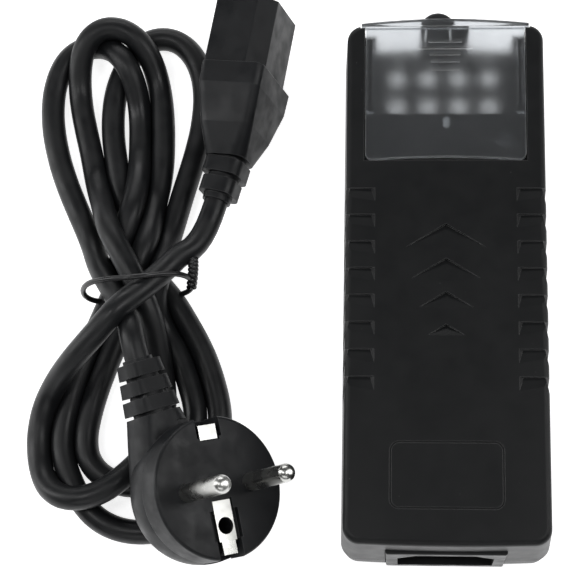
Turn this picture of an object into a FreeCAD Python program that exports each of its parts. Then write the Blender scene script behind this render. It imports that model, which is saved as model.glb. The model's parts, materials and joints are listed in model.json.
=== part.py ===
import FreeCAD, Part
import math
import os

os.makedirs("parts", exist_ok=True)

Vec = FreeCAD.Vector

# Case. Origin at the middle of its base, +Y towards the network end, +Z up.
case_length = 140.0
case_width = 53.6
case_height = 33.0
top_width = 51.4
top_length = 138.6
foot_height = 1.0
part_line_z = 9.0
wall = 2.0
corner_radius = 4.2
end_bow = 0.5
crown_radius = 620.0
top_edge_round = 1.6
bottom_edge_round = 1.0
part_line_gap = 0.15

# Plug bay at the network end, its slide-off cover and the ledge beside it.
bay_start_y = 44.0
bay_end_y = 68.0
bay_half_width = 21.15
bay_floor_z = 3.2
ledge_start_y = 30.7
ledge_z = 30.9
cover_half_width = 20.85
cover_thickness = 1.7
cover_top_z = 32.9
cover_start_y = 31.0
cover_lip_half_width = 22.05
cover_lip_end_y = 70.4
cover_lip_bow = 1.3
cable_exit_x = 12.25
cable_exit_width = 11.8
cable_exit_z = 11.5
floor_hole_diameter = 4.8
floor_hole_pitch = 8.4
floor_hole_y = (56.9, 65.2)
led_x = 0.3
led_y = 41.7
screw_x = 15.2
screw_y = 37.0

# Latch tab at the end of the cover.
latch_x = -1.8
latch_radius = 4.7
latch_centre_y = 69.3
latch_top_z = 28.6

# Grips, chevrons and the blank label outline.
grip_count = 8
grip_first_y = 23.2
grip_pitch = 7.13
grip_depth = 1.0
grip_ramp = 4.2
grip_inner_x = 17.6
grip_top_depth = 0.5
chevrons = ((13.4, 10.2), (4.2, 8.9), (-4.6, 7.0), (-13.2, 4.7))
chevron_depth = 0.9
chevron_run_out = 0.9
label_size = (28.5, 17.0)
label_y = -51.7

# Appliance inlet (C14) in the other end.
inlet_frame_width = 30.4
inlet_frame_height = 22.6
inlet_centre_z = 13.0
inlet_opening_width = 24.4
inlet_opening_height = 16.8
inlet_depth = 22.0
socket_depth = 17.0

# Circuit board and the two network sockets.
board_z = 7.0
board_thickness = 1.6
board_half_width = 22.5
jack_x = 12.25
jack_width = 16.0
jack_height = 13.4
jack_depth = 18.0

# Mains lead: cord, connector (C13) and angled plug (CEE 7/7).
cord_diameter = 6.5
connector_tip = (-50.6, 80.0, 15.5)
connector_turn = 9.5
connector_roll = -15.0
relief_bend = 6.0
nose_length = 20.0
nose_width = 24.0
nose_height = 16.3
grip_length = 24.0
relief_length = 12.5
plug_face = (-57.3, -53.8, 23.6)
plug_lean = 35.5
pin_turn = 14.8
plug_radius = 18.5
plug_depth = 19.0
pin_pitch = 19.0
pin_diameter = 4.8
pin_length = 19.0
plug_cord_depth = 14.0
plug_cord_offset = -4.5
plug_cord_turn = 6.0
plug_neck_length = 37.3
plug_relief_length = 15.0
hank_height = 13.4
tie_y = 1.5


def box(x0, x1, y0, y1, z0, z1):
    return Part.makeBox(x1 - x0, y1 - y0, z1 - z0, Vec(x0, y0, z0))


def pin(radius, base, height, axis=(0, 0, 1)):
    return Part.makeCylinder(radius, height, Vec(*base), Vec(*axis))


def fuse(shapes):
    joined = shapes[0]
    for shape in shapes[1:]:
        joined = joined.fuse(shape)
    return joined.removeSplitter()


def group(shapes):
    return Part.makeCompound(shapes)


def save(node, shape):
    shape.exportStep("parts/" + node + ".step")


def prism(points, direction):
    """A closed flat outline pushed along a direction."""
    face = Part.Face(Part.makePolygon([Vec(*p) for p in points + points[:1]]))
    return face.extrude(Vec(*direction))


def round_outline(half_x, half_y, radius, bow, z):
    """A rounded rectangle whose two ends bow out a little."""
    s = radius * (1 - math.sqrt(0.5))
    x, y, r = half_x, half_y - bow, radius
    corners = []
    for sx, sy in ((1, 1), (-1, 1), (-1, -1), (1, -1)):
        side = Vec(sx * x, sy * (y - r), z)
        mid = Vec(sx * (x - s), sy * (y - s), z)
        end = Vec(sx * (x - r), sy * y, z)
        corners.append((side, mid, end) if sx * sy > 0 else (end, mid, side))
    edges = []
    for i, (a, m, b) in enumerate(corners):
        edges.append(Part.Arc(a, m, b).toShape())
        c = corners[(i + 1) % 4][0]
        if i % 2 == 0 and bow > 0:
            tip = Vec(0, (half_y if i == 0 else -half_y), z)
            edges.append(Part.Arc(b, tip, c).toShape())
        else:
            edges.append(Part.LineSegment(b, c).toShape())
    return Part.Wire(edges)


def case_layer(z, inset):
    """The case's outline at one height, drawn in by an inset."""
    if z >= part_line_z:
        share = (z - part_line_z) / (case_height - part_line_z)
        half_x = (case_width + (top_width - case_width) * share) / 2
        half_y = (case_length + (top_length - case_length) * share) / 2
    else:
        share = (part_line_z - z) / part_line_z
        half_x = case_width / 2 - 0.5 * share
        half_y = case_length / 2 - 0.3 * share
    radius = max(corner_radius - inset, 1.0)
    return round_outline(half_x - inset, half_y - inset, radius, end_bow, z)


def case_block(z0, z1, inset):
    return Part.makeLoft([case_layer(z0, inset), case_layer(z1, inset)], True, True)


def edges_at(shape, z, tolerance=0.9):
    """The edges of a block that lie round one height."""
    found = []
    for edge in shape.Edges:
        limits = edge.BoundBox
        if limits.ZMin > z - tolerance and limits.ZMax < z + tolerance:
            found.append(edge)
    return found


def crown_limit():
    """The space under the top's gentle crown, which runs the length of the case."""
    half = case_width
    low = case_height - crown_radius + math.sqrt(crown_radius ** 2 - half ** 2)
    left, right = Vec(-half, -case_length, low), Vec(half, -case_length, low)
    arch = Part.Arc(left, Vec(0, -case_length, case_height), right).toShape()
    under = Part.makePolygon([right, Vec(half, -case_length, 0), Vec(-half, -case_length, 0), left])
    return Part.Face(Part.Wire([arch] + under.Edges)).extrude(Vec(0, 2 * case_length, 0))


def side_grips():
    """Saw-tooth finger notches that wrap from the sides on to the top."""
    cutters = []
    for i in range(grip_count):
        y = grip_first_y - i * grip_pitch
        for side in (-1, 1):
            foot = case_width / 2 - 0.15
            head = top_width / 2
            wires = []
            for x, z in ((foot, part_line_z + 1.2), (head, case_height + 0.5)):
                tooth = [(x + 1, y), (x - grip_depth, y), (x, y - grip_ramp)]
                tooth.append((x + 1, y - grip_ramp))
                ring = [Vec(side * px, py, z) for px, py in tooth]
                wires.append(Part.makePolygon(ring + ring[:1]))
            cutters.append(Part.makeLoft(wires, True, True))
            cutters.append(top_notch(y, side))
    return cutters


def top_notch(y, side):
    """One notch on the top: a step at y that ramps out towards the base and towards the middle."""
    outer, inner = side * (top_width / 2 + 1), side * grip_inner_x
    top = case_height - 0.45
    low = top - grip_top_depth
    ramp = [(outer, y, low), (outer, y - grip_ramp, top + 0.3)]
    ramp += [(outer, y - grip_ramp, top + 2), (outer, y, top + 2)]
    slope = [(outer, y, low), (side * (grip_inner_x + 1.6), y, low), (inner, y, top + 0.6)]
    slope += [(inner, y, top + 2), (outer, y, top + 2)]
    along = prism(ramp, (inner - outer, 0, 0))
    return along.common(prism(slope, (0, -grip_ramp, 0)))


def chevron_cutters():
    """Each chevron is a dip with a flat sloping floor, deepest under the tip of its V."""
    cutters = []
    for tip_y, reach in chevrons:
        drop = reach * 0.61
        low = case_height - chevron_depth
        rim = case_height - reach ** 2 / (2 * crown_radius)
        past = tip_y - drop - chevron_run_out
        rise = rim + (rim - low) / drop * chevron_run_out
        corners = [(0, tip_y, low), (-reach, tip_y - drop, rim), (1 - reach, past, rise)]
        corners += [(reach - 1, past, rise), (reach, tip_y - drop, rim)]
        cutters.append(prism(corners, (0, 0, 3)))
    return cutters


def label_groove():
    """A fine rounded-rectangle outline for a label that is left off."""
    half_x, half_y = label_size[0] / 2, label_size[1] / 2
    outer = Part.Face(round_outline(half_x, half_y, 2.4, 0, 0))
    inner = Part.Face(round_outline(half_x - 0.45, half_y - 0.45, 2.0, 0, 0))
    ring = outer.cut(inner).extrude(Vec(0, 0, 2))
    ring.translate(Vec(0, label_y, case_height - 0.5))
    return ring


def inlet_cutter():
    half = inlet_frame_width / 2 + 0.15
    low = inlet_centre_z - inlet_frame_height / 2 - 0.15
    high = inlet_centre_z + inlet_frame_height / 2 + 0.15
    return box(-half, half, -case_length / 2 - 1, -case_length / 2 + 2.8, low, high)


def screw_points():
    return [(x, y) for x in (-20.3, 20.3) for y in (-58.0, 22.0)]


def lower_shell():
    block = case_block(foot_height, part_line_z, 0)
    block = block.makeFillet(bottom_edge_round, edges_at(block, foot_height, 0.1))
    floor = bay_floor_z
    shell = block.cut(case_block(floor, part_line_z + 1, wall))
    shell = shell.common(box(-40, 40, -80, 80, 0, part_line_z - part_line_gap))
    rib_top = board_z - 0.4
    rear_rib = box(-board_half_width, board_half_width, bay_start_y - 1.6, bay_start_y, floor - 0.5, rib_top)
    posts = [pin(3.2, (x, y, floor - 0.5), board_z - floor + 0.5) for x, y in screw_points()]
    shell = fuse([shell, rear_rib] + posts)
    cuts = [inlet_cutter()]
    for x, y in screw_points():
        cuts.append(pin(1.6, (x, y, 0), 12))
        cuts.append(pin(3.0, (x, y, 0), 3.0))
    for column in range(4):
        for y in floor_hole_y:
            x = (column - 1.5) * floor_hole_pitch + 0.1
            cuts.append(pin(floor_hole_diameter / 2, (x, y, 0), floor + 1))
    cuts.append(box(-18.2, 18.2, -30.2, 14.2, 0, foot_height + 0.5))
    for x, y in foot_points():
        cuts.append(pin(4.1, (x, y, 0), foot_height + 0.5))
    return shell.cut(group(cuts))


def cover_recess():
    """The room that the cover slides in, with the grooves for its rails."""
    ledge = box(-bay_half_width, bay_half_width, ledge_start_y, 72, ledge_z, 36)
    lip_half = cover_lip_half_width + 0.3
    lip = box(-lip_half, lip_half, bay_end_y - 0.1, 72, 29.7, 36)
    bay = box(-bay_half_width, bay_half_width, bay_start_y, bay_end_y, 0, 36)
    grooves = box(-22.2, 22.2, bay_start_y, 72, 26.6, 28.9)
    rail_gap = box(-bay_half_width, bay_half_width, 67, 72, 23.2, 36)
    post = box(-6.35, 6.35, 60, 72, 0, 29.7)
    latch_slot = box(latch_x - 3.4, latch_x + 3.4, 66, 72, 19.5, 36)
    rail_room = grooves.cut(post).fuse(rail_gap.cut(post))
    exits = []
    for side in (-1, 1):
        x = side * cable_exit_x
        half = cable_exit_width / 2
        exits.append(box(x - half, x + half, 67, 72, cable_exit_z, 36))
    return [ledge, lip, bay, rail_room, latch_slot] + exits


def upper_shell():
    block = case_block(part_line_z, case_height + 1, 0).common(crown_limit())
    block = block.makeFillet(top_edge_round, edges_at(block, case_height - 0.4))
    hollow = case_block(part_line_z - 1, case_height - wall, wall)
    shell = block.cut(hollow)
    high = ledge_z - 0.1
    arms = box(-28, 28, bay_start_y - 1, 72, part_line_z, case_height)
    arms = arms.cut(box(-28, 28, bay_start_y - 2, bay_end_y, 0, part_line_z))
    side_walls = arms.common(block).cut(box(-bay_half_width, bay_half_width, 0, bay_end_y, 0, 40))
    rear_wall = box(-24.4, 24.4, bay_start_y - 2, bay_start_y, part_line_z, high)
    ledge_plate = box(-24.4, 24.4, ledge_start_y - 2.5, bay_start_y, ledge_z - 2.0, ledge_z)
    ledge_wall = box(-24.4, 24.4, ledge_start_y - 2.5, ledge_start_y, ledge_z - 2.0, case_height - 1)
    boss = pin(3.6, (screw_x, screw_y, 23.2), ledge_z - 23.7)
    posts = [pin(2.8, (x, y, board_z + board_thickness + 0.2), 22) for x, y in screw_points()]
    inside = hollow.fuse(block)
    shell = fuse([shell] + [s.common(inside) for s in (rear_wall, ledge_plate, ledge_wall, boss)]
                 + [side_walls] + posts)
    cuts = cover_recess()
    cuts.append(box(-40, 40, -80, 80, 0, part_line_z + part_line_gap))
    cuts += side_grips() + chevron_cutters() + [label_groove(), inlet_cutter()]
    for side in (-1, 1):
        x = side * jack_x
        cuts.append(box(x - jack_width / 2 - 0.2, x + jack_width / 2 + 0.2, bay_start_y - 3,
                        bay_start_y + 1, part_line_z, board_z + board_thickness + jack_height + 0.3))
    cuts.append(pin(1.15, (screw_x, screw_y, 20), 15))
    cuts.append(pin(2.4, (screw_x, screw_y, ledge_z - 1.6), 5))
    cuts.append(light_pipe_column(0.05, 10, ledge_z + 2))
    cuts.append(pin(2.3, (led_x, led_y, 5), 8.4))
    for x, y in screw_points():
        cuts.append(pin(1.15, (x, y, 5), 19))
    shell = shell.cut(group(cuts))
    pad = box(5.5, 10.0, 36.7, 38.6, ledge_z - 0.5, ledge_z + 0.15)
    return fuse([max(shell.Solids, key=lambda s: s.Volume), pad])


def light_pipe_column(grow, z0, z1):
    x, y, r, half = led_x, led_y, 0.8 + grow, 0.75
    parts = [pin(r, (x, y - half, z0), z1 - z0), pin(r, (x, y + half, z0), z1 - z0)]
    parts.append(box(x - r, x + r, y - half, y + half, z0, z1))
    return fuse(parts)


def port_cover():
    """Frosted cover: panel, end lip with its ears, two rails, grip lines and a catch rib."""
    low = cover_top_z - cover_thickness
    x, y = cover_half_width, cover_start_y
    panel = box(-x, x, y, bay_end_y + 0.2, low, cover_top_z)
    corners = [e for e in panel.Edges if e.BoundBox.ZLength > 1 and e.BoundBox.YMax < y + 1]
    panel = panel.makeFillet(1.9, corners)
    arch = Part.makeCylinder(260, 10, Vec(0, y + 0.8 - 260, low - 2), Vec(0, 0, 1))
    crown = crown_limit()
    crown.translate(Vec(0, 0, cover_top_z - case_height))
    panel = panel.cut(arch).common(crown)
    half = cover_lip_half_width
    lip = box(-half, half, bay_end_y + 0.2, cover_lip_end_y, 30.1, case_height)
    bow_radius = half ** 2 / (2 * cover_lip_bow)
    lip = lip.common(pin(bow_radius, (0, cover_lip_end_y - bow_radius, 20), 20))
    lip = lip.makeFillet(0.4, edges_at(lip, case_height, 0.05))
    parts = [panel, lip]
    for side in (-1, 1):
        a, b = sorted((side * 19.1, side * 20.4))
        parts.append(box(a, b, 46, 65, 24.2, low + 0.2))
        a, b = sorted((side * 20.2, side * 21.7))
        parts.append(box(a, b, 47, 64.5, 27.0, 28.5))
        parts.append(pin(1.2, (side * 19.75, 45.9, 24.2), low - 24.0))
    for grip_y, reach in ((63.8, 4.35), (61.9, 7.05), (60.2, 4.0), (58.2, 3.7), (55.9, 3.7)):
        parts.append(box(-reach, reach, grip_y - 0.3, grip_y + 0.3, cover_top_z - 0.3, case_height + 0.2))
    parts.append(box(latch_x - 3, latch_x + 3, 61.6, 62.6, 29.9, low + 0.2))
    return fuse(parts)


def cover_latch():
    """Half-round thumb tab, the stem behind it and the pawl that holds the cover."""
    low = latch_top_z - 4.0
    tab = pin(latch_radius, (latch_x, latch_centre_y, low), 4.0)
    tab = tab.common(box(-20, 20, 70.5, 80, 0, 40))
    tab = tab.makeFillet(0.7, edges_at(tab, latch_top_z, 0.05))
    stem = box(latch_x - 3.0, latch_x + 3.0, 65.0, 70.6, low + 0.4, latch_top_z - 0.4)
    tongue = box(latch_x - 2.4, latch_x + 2.4, 66.6, 67.6, 14.5, low + 0.5)
    pawl = box(latch_x - 2.4, latch_x + 2.4, 63.2, 65.1, low + 0.4, latch_top_z + 0.8)
    return fuse([tab, stem, tongue, pawl])


def latch_bracket():
    """Guide block on the end wall's post, in which the latch tongue springs."""
    block = box(latch_x - 3.6, latch_x + 3.6, 65.6, 68.0, part_line_z + 0.3, 17.5)
    room = box(latch_x - 2.75, latch_x + 2.75, 66.2, 69.0, 11.5, 30)
    return block.cut(room)


def foot_points():
    return [(x, y) for x in (-19.0, 19.0) for y in (-48.0, 48.0)]


def rubber_feet():
    feet = []
    for x, y in foot_points():
        foot = pin(4.0, (x, y, 0), foot_height + 0.5)
        feet.append(foot.makeFillet(0.5, edges_at(foot, 0, 0.05)))
    return group(feet)


def rating_plate():
    return box(-18.0, 18.0, -30.0, 14.0, foot_height + 0.05, foot_height + 0.45)


def cross_screw(x, y, head_z, shank, up):
    """A pan-head screw with a cross recess; up says which way its head faces."""
    head = pin(2.2, (x, y, head_z), 1.3)
    cross = fuse([box(x - 1.3, x + 1.3, y - 0.3, y + 0.3, head_z, head_z + 0.7),
                  box(x - 0.3, x + 0.3, y - 1.3, y + 1.3, head_z, head_z + 0.7)])
    if up:
        cross.translate(Vec(0, 0, 0.6))
        stem = pin(1.1, (x, y, head_z - shank), shank)
    else:
        stem = pin(1.1, (x, y, head_z + 1.3), shank)
    return fuse([head, stem]).cut(cross)


def case_screws():
    return group([cross_screw(x, y, 1.6, 14.0, False) for x, y in screw_points()])


def inlet_parts():
    """The appliance inlet: flanged housing, two power blades and an earth blade."""
    half_x, half_z = inlet_frame_width / 2, inlet_frame_height / 2
    end = -case_length / 2
    z = inlet_centre_z
    flange = box(-half_x, half_x, end - 0.3, end + 2.6, z - half_z, z + half_z)
    flange = flange.makeFillet(0.6, [e for e in flange.Edges if e.BoundBox.YMax < end])
    body_x, body_z = half_x - 1.6, half_z - 1.9
    body = box(-body_x, body_x, end + 2.4, end + inlet_depth, z - body_z, z + body_z)
    ox, oz, chamfer = inlet_opening_width / 2, inlet_opening_height / 2, 4.6
    points = [(-ox, z - oz), (ox, z - oz), (ox, z + oz - chamfer), (ox - chamfer, z + oz)]
    points += [(chamfer - ox, z + oz), (-ox, z + oz - chamfer)]
    cavity = prism([(x, end - 1, pz) for x, pz in points], (0, socket_depth + 1, 0))
    housing = fuse([flange, body]).cut(cavity)
    back = end + socket_depth
    blades = []
    for x, low in ((-7.0, z - 3.0), (7.0, z - 3.0), (0.0, z + 1.0)):
        tip = end + (3.0 if x else 1.5)
        blades.append(box(x - 1.0, x + 1.0, tip, end + inlet_depth + 4.0, low, low + 4.0))
    blades = [b.makeFillet(0.5, [e for e in b.Edges if e.BoundBox.YMax < back - 10]) for b in blades]
    for blade in blades:
        housing = housing.cut(blade)
    return housing, group(blades[:2]), blades[2]


def circuit_board():
    board = box(-board_half_width, board_half_width, -46.5, 43.7, board_z, board_z + board_thickness)
    holes = [pin(1.4, (x, 22.0, 0), 20) for x in (-20.3, 20.3)]
    return board.cut(group(holes))


def standing(x0, x1, y0, y1, height, edge=0.5):
    """A block that stands on the board, its upright edges rounded."""
    z = board_z + board_thickness
    block = box(x0, x1, y0, y1, z, z + height)
    return block.makeFillet(edge, [e for e in block.Edges if e.BoundBox.ZLength > height - 0.01])


def can(x, y, radius, height):
    z = board_z + board_thickness
    tin = pin(radius, (x, y, z), height)
    return tin.makeFillet(0.5, edges_at(tin, z + height, 0.05))


def ring_core(x, y, z, outer, inner, height, axis=(0, 0, 1)):
    return pin(outer, (x, y, z), height, axis).cut(pin(inner, (x, y, z), height, axis))


def mains_side():
    """Mains filter, rectifier and primary switch, from the inlet inwards."""
    z = board_z + board_thickness
    save("fuse", pin(2.6, (-20.0, -42.0, z + 2.8), 18.0, (0, 1, 0)))
    save("varistor", pin(5.0, (-13.0, -36.8, z + 6.5), 3.6, (1, 0, 0)))
    save("x_capacitor", standing(-7.5, 5.5, -43.5, -36.5, 13.0))
    core = ring_core(14.4, -36.5, z + 1.4, 6.8, 3.8, 7.0)
    save("line_choke_core", core)
    sleeve = ring_core(14.4, -36.5, z + 0.2, 8.2, 2.4, 9.4)
    sleeve = sleeve.cut(ring_core(14.4, -36.5, z + 1.35, 6.85, 3.75, 7.1))
    sleeve = sleeve.cut(box(12.4, 16.4, -46.0, -27.0, z, z + 12))
    save("line_choke_winding", group(sleeve.Solids))
    save("bridge_rectifier", standing(-19.5, -16.0, -20.5, -9.0, 13.5))
    save("bulk_capacitor", can(-6.0, -22.0, 8.5, 19.0))
    save("power_transistor", standing(9.4, 13.8, -23.5, -13.5, 15.0, 0.3))
    fins = [box(14.0, 16.0, -27.0, -10.0, z, z + 19.0)]
    fins += [box(16.0, 19.5, -27.0 + 3.75 * i, -25.0 + 3.75 * i, z, z + 19.0) for i in range(5)]
    save("primary_heat_sink", fuse(fins))


def low_voltage_side():
    """Transformer, output rectifier and filter, and the power controller."""
    z = board_z + board_thickness
    core = box(-13.0, 9.0, -11.0, 7.0, z + 3.0, z + 8.0)
    core = fuse([core, box(-13.0, -9.5, -11.0, 7.0, z + 3.0, z + 17.0),
                 box(5.5, 9.0, -11.0, 7.0, z + 3.0, z + 17.0),
                 box(-13.0, 9.0, -11.0, 7.0, z + 13.5, z + 17.0)])
    save("transformer_core", core)
    bobbin = box(-9.3, 5.3, -12.0, 8.0, z, z + 2.8)
    coil = box(-8.8, 4.8, -12.5, 8.5, z + 2.8, z + 13.3)
    coil = coil.cut(box(-20, 20, -11.2, 7.2, z + 2.8, z + 8.2))
    save("transformer_winding", fuse([bobbin, coil]))
    save("optocoupler", standing(-20.5, -14.0, -2.0, 3.0, 3.6, 0.3))
    save("y_capacitors", group([pin(3.2, (x, 11.2, z + 4.0), 2.6, (0, 1, 0)) for x in (-18.0, -10.5)]))
    save("output_diode", standing(13.0, 17.4, -4.5, 5.5, 15.0, 0.3))
    save("secondary_heat_sink", box(17.6, 19.4, -7.0, 8.0, z, z + 18.0))
    save("output_capacitors", group([can(14.5, 14.5, 4.8, 16.0), can(3.5, 14.5, 4.8, 16.0)]))
    choke = ring_core(-5.5, 18.5, z + 0.8, 3.9, 1.6, 5.0)
    save("output_choke", choke)
    chips = [box(-16.0, -10.5, 16.0, 23.0, z, z + 1.8), box(7.5, 15.0, 21.0, 25.5, z, z + 2.2)]
    chips.append(box(-3.8, 3.8, 24.0, 32.0, z, z + 5.5))
    save("controller_chips", group(chips))


def jack_housing(x):
    """One network socket: a box with a stepped opening for the plug and its clip."""
    z = board_z + board_thickness
    half = jack_width / 2 - 0.35
    front = bay_start_y + 0.4
    rear = front - jack_depth
    block = box(x - half, x + half, rear + 0.4, front, z + 0.1, z + jack_height - 0.4)
    mouth = box(x - 5.95, x + 5.95, front - 13.0, front + 1, z + 2.6, z + 9.6)
    clip = box(x - 3.2, x + 3.2, front - 11.0, front + 1, z + 9.5, z + 11.8)
    return block.cut(mouth.fuse(clip))


def jack_shield(x):
    z = board_z + board_thickness
    half = jack_width / 2
    front = bay_start_y + 0.4
    rear = front - jack_depth
    outer = box(x - half, x + half, rear, front, z, z + jack_height)
    inner = box(x - half + 0.35, x + half - 0.35, rear + 0.4, front + 1, z - 1, z + jack_height - 0.4)
    return outer.cut(inner)


def jack_contact_set(x):
    """Eight sprung contacts on the floor of a socket's mouth."""
    z = board_z + board_thickness + 2.6
    front = bay_start_y + 0.4
    contacts = []
    for i in range(8):
        cx = x + (i - 3.5) * 1.02
        profile = [(cx - 0.18, front - 12.9, z), (cx - 0.18, front - 2.0, z)]
        profile += [(cx - 0.18, front - 2.0, z + 0.4), (cx - 0.18, front - 9.0, z + 2.3)]
        profile += [(cx - 0.18, front - 12.9, z + 2.3)]
        contacts.append(prism(profile, (0.36, 0, 0)))
    return contacts


def frame_of(origin, right, forward, up):
    """A placement whose X, Y and Z axes are the three given directions."""
    matrix = FreeCAD.Matrix(right.x, forward.x, up.x, origin.x, right.y, forward.y, up.y, origin.y,
                            right.z, forward.z, up.z, origin.z, 0, 0, 0, 1)
    return FreeCAD.Placement(matrix)


def rounded_section(width, height, radius, z):
    return round_outline(width / 2, height / 2, radius, 0, z)


def connector_placement():
    """Connector frame: Z runs back from the tip towards the cord, X is its wide side."""
    turn, roll = math.radians(connector_turn), math.radians(connector_roll)
    back = Vec(-math.sin(turn), -math.cos(turn), 0)
    side = Vec(math.cos(turn), -math.sin(turn), 0)
    wide = side * math.sin(roll) + Vec(0, 0, math.cos(roll))
    return frame_of(Vec(*connector_tip), wide, back.cross(wide), back)


def connector_relief_placement():
    """The relief starts at the grip's end and is bent a little by the cord."""
    place = connector_placement()
    start = place.multVec(Vec(0, 0, nose_length + grip_length - 0.5))
    bend = FreeCAD.Rotation(Vec(0, 0, 1), -relief_bend)
    return FreeCAD.Placement(start, bend.multiply(place.Rotation))


def connector_parts():
    """Appliance connector: keyed nose, tapered grip, contact sleeves and ringed relief."""
    half_x, half_y, chamfer = nose_width / 2, nose_height / 2, 4.4
    outline = [(-half_x, half_y, 0), (-half_x, chamfer - half_y, 0), (chamfer - half_x, -half_y, 0)]
    outline += [(half_x - chamfer, -half_y, 0), (half_x, chamfer - half_y, 0), (half_x, half_y, 0)]
    nose = prism(outline, (0, 0, nose_length + 1))
    nose = nose.makeFillet(0.6, [e for e in nose.Edges if e.BoundBox.ZLength > nose_length])
    end = nose_length + grip_length
    wires = [rounded_section(25.2, 18.0, 2.4, nose_length),
             rounded_section(24.8, 17.6, 2.4, nose_length + 6),
             rounded_section(18.2, 15.0, 2.6, nose_length + 16), rounded_section(11.6, 11.6, 3.6, end)]
    grip = Part.makeLoft(wires, True, True)
    body = fuse([nose, grip])
    slots, sleeves = [], []
    for x, y in ((-7.0, 2.0), (7.0, 2.0), (0.0, -2.0)):
        slots.append(box(x - 1.5, x + 1.5, y - 2.6, y + 2.6, -1, 17.0))
        sleeve = box(x - 1.4, x + 1.4, y - 2.4, y + 2.4, 1.0, 16.8)
        sleeves.append(sleeve.cut(box(x - 0.9, x + 0.9, y - 2.0, y + 2.0, 0, 15.0)))
    body = body.cut(group(slots))
    place = connector_placement()
    shapes = [body, group(sleeves)]
    for shape in shapes:
        shape.Placement = place
    relief = Part.makeCone(4.7, cord_diameter / 2 + 0.6, relief_length)
    rings = [rounded_section(11.0 - 1.2 * i, 11.0 - 1.2 * i, 3.0, 1.2 + 5.4 * i) for i in range(2)]
    rings = [Part.Face(ring).extrude(Vec(0, 0, 4.2)) for ring in rings]
    relief = fuse([relief] + rings)
    relief.Placement = connector_relief_placement()
    return body, shapes[1], relief.cut(body)


def plug_placement():
    """Plug frame: Z along the pins, X from pin to pin, origin at the middle of the face."""
    lean, turn = math.radians(plug_lean), math.radians(pin_turn)
    normal = Vec(math.sin(lean), 0, math.cos(lean))
    flat = Vec(math.cos(lean), 0, -math.sin(lean))
    pins = flat * math.cos(turn) + Vec(0, 1, 0) * math.sin(turn)
    return frame_of(Vec(*plug_face), pins, normal.cross(pins), normal)


def plug_cord_frame():
    """Frame in the plug's own axes whose Z runs out along its neck."""
    turn = math.radians(90 + plug_cord_turn)
    out = Vec(math.cos(turn), math.sin(turn), 0)
    side = Vec(-out.y, out.x, 0)
    return frame_of(Vec(plug_cord_offset, 0, -plug_cord_depth), side, out.cross(side), out)


def plug_parts():
    """Angled plug: round face, body and neck, pins, earth contacts and ribbed relief."""
    face = Part.makeCylinder(plug_radius, 7.0, Vec(0, 0, -7.0))
    face = face.makeFillet(0.8, edges_at(face, 0, 0.05))
    wires = [Part.Wire(Part.makeCircle(r, Vec(0, 0, z))) for r, z in
             ((plug_radius - 0.3, -6.9), (plug_radius - 1.2, -15.5), (13.6, -plug_depth))]
    back = Part.makeLoft(wires, True, False)
    ribs_start = plug_neck_length - plug_relief_length
    neck = Part.makeLoft([rounded_section(22.0, 11.8, 4.5, 6), rounded_section(17.0, 11.8, 4.5, 16),
                          rounded_section(13.6, 11.6, 4.5, ribs_start)], True, False)
    neck.Placement = plug_cord_frame()
    body = fuse([face, back, neck])
    contacts, cuts = [], []
    hole_y = -9.7
    cuts.append(pin(2.3, (0, hole_y, -16.0), 17))
    for side in (-1, 1):
        a, b = sorted((side * 13.0, side * 19.5))
        cuts.append(box(-3.6, 3.6, a, b, -9.5, 1))
    cuts.append(box(-2.9, 2.9, -14.0, -2.9, -1.6, 1))
    cuts.append(box(-4.2, 4.2, -13.2, -5.6, -1.6, 1))
    cuts.append(box(-2.9, 2.9, 12.2, 14.0, -1.6, 1))
    lower = [box(-2.6, 2.6, -13.6, -3.2, -1.4, -0.5), box(-2.0, 2.0, -17.0, -13.5, -1.4, -0.5)]
    lower.append(box(-2.0, 2.0, -17.0, -16.2, -9.3, -0.9))
    contacts.append(fuse(lower).cut(pin(2.2, (0, hole_y, -5), 10)))
    contacts.append(fuse([box(-2.6, 2.6, 15.5, 16.3, -9.3, -0.9), box(-2.6, 2.6, 12.5, 16.3, -1.4, -0.5)]))
    pins = []
    for side in (-1, 1):
        x = side * pin_pitch / 2
        shank = pin(pin_diameter / 2, (x, 0, 0), pin_length)
        shank = shank.makeFillet(2.0, edges_at(shank, pin_length, 0.05))
        pins.append(shank.fuse(pin(pin_diameter / 2 - 0.4, (x, 0, -6.0), 6.5)).removeSplitter())
    body = body.cut(group(cuts)).cut(group(pins))
    relief = Part.makeCone(5.2, cord_diameter / 2 + 0.7, plug_relief_length, Vec(0, 0, ribs_start))
    for i in range(3):
        z = ribs_start + 0.9 + 4.7 * i
        rib = Part.makeLoft([rounded_section(13.0 - 0.9 * i, 11.6 - 0.8 * i, 3.2, z),
                             rounded_section(12.4 - 0.9 * i, 11.0 - 0.8 * i, 3.2, z + 3.7)], True, True)
        relief = relief.fuse(rib)
    relief = relief.removeSplitter()
    relief.Placement = plug_cord_frame()
    place = plug_placement()
    shapes = [body, group(pins), group(contacts), relief]
    for shape in shapes:
        shape.Placement = place.multiply(shape.Placement)
    return shapes


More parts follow.
